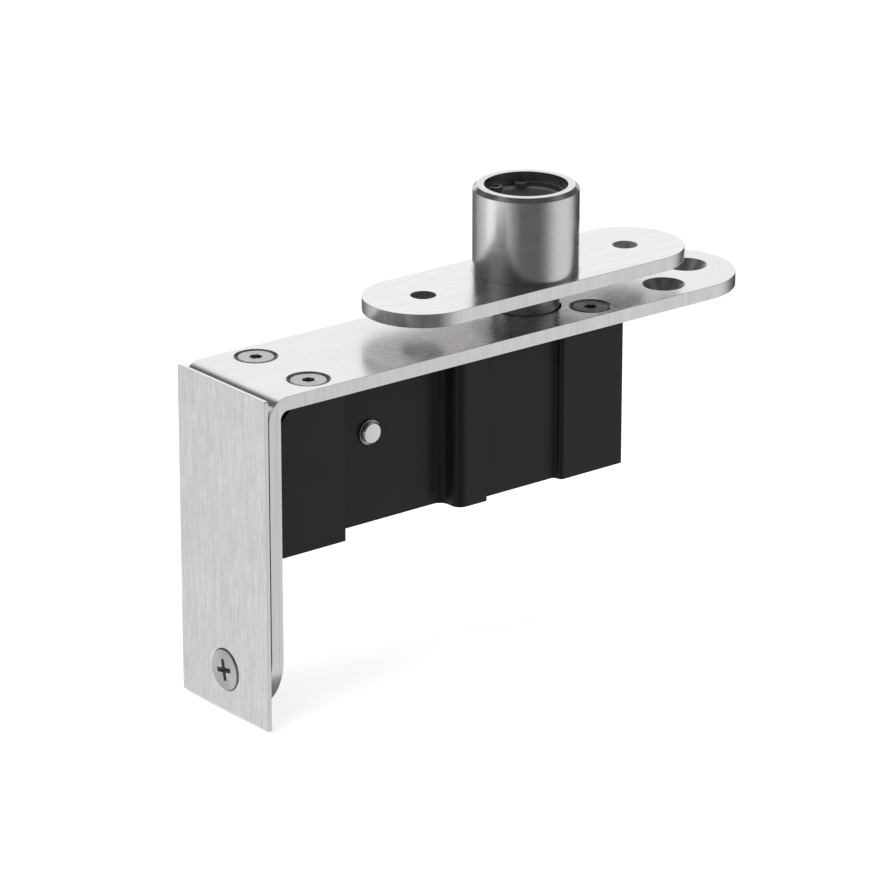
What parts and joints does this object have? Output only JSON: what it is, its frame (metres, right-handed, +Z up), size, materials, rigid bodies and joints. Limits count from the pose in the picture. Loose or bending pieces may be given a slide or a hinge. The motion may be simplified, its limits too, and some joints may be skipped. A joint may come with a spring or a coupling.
{
  "type": "door top pivot",
  "caption": "Retractable top pivot for a heavy door: bent strip bracket with a screw-and-lever mechanism that draws the pin down out of a bushed tube on an oval frame plate.",
  "frame": {"origin": "on the pivot axis, at the top face of the frame plate, where it meets the underside of the door frame's head", "axes": "+Z up along the pin and out through the tube's mouth; +X along the door, from the leg and its cover towards the arm's round end; +Y across the door's thickness"},
  "size_m": [0.1351, 0.03, 0.099],
  "materials": {
    "bracket_steel": "satin brushed stainless steel",
    "cover_steel": "satin stainless steel, brushed up and down",
    "screw_steel": "plain stainless steel",
    "black_plastic": "matte black glass-filled plastic",
    "turned_steel": "turned stainless steel",
    "pin_steel": "ground steel",
    "lever_steel": "bead-blasted steel",
    "dark_spring_steel": "oiled spring steel",
    "bush_plastic": "dark bearing plastic",
    "brass": "plain machined brass"
  },
  "bodies": {
    "door_part": {"door_bracket": "bracket_steel", "cover_plate": "cover_steel", "cover_screw": "screw_steel", "housing": "black_plastic", "housing_screws": "screw_steel", "guide_sleeve": "turned_steel", "lever_axle": "pin_steel", "lever_washers": "screw_steel", "thrust_washer": "screw_steel"},
    "frame_part": {"frame_plate": "bracket_steel", "pivot_tube": "turned_steel", "pivot_bush": "bush_plastic", "tube_circlip": "dark_spring_steel"},
    "pin": {"pivot_pin": "pin_steel"},
    "lever": {"rocker_lever": "lever_steel", "lever_bush": "brass", "lever_pin": "pin_steel"},
    "nut": {"adjuster_nut": "brass", "nut_trunnions": "pin_steel"},
    "screw": {"adjusting_screw": "screw_steel"}
  },
  "joints": [
    {"name": "frame_turn", "type": "hinge", "parent": "door_part", "child": "frame_part", "pos_m": [0, 0, 0], "axis": [0, 0, 1], "continuous": true},
    {"name": "pin_slide", "type": "slide", "parent": "door_part", "child": "pin", "axis": [0, 0, -1], "range_m": [0, 0.02]},
    {"name": "lever_rock", "type": "hinge", "parent": "door_part", "child": "lever", "pos_m": [-0.049, 0, -0.023], "axis": [0, 1, 0], "range_deg": [0, 23.19]},
    {"name": "nut_slide", "type": "slide", "parent": "door_part", "child": "nut", "axis": [-1, 0, 0], "range_m": [0, 0.00488]},
    {"name": "screw_turn", "type": "hinge", "parent": "door_part", "child": "screw", "pos_m": [-0.0709, 0, -0.0349], "axis": [1, 0, 0], "range_deg": [0, 2197.5]}
  ],
  "couplings": [
    {"joint": "lever_rock", "follows": "pin_slide", "rad_per_m": 20.235},
    {"joint": "nut_slide", "follows": "pin_slide", "ratio": 0.24414},
    {"joint": "screw_turn", "follows": "pin_slide", "rad_per_m": 1917.5}
  ]
}
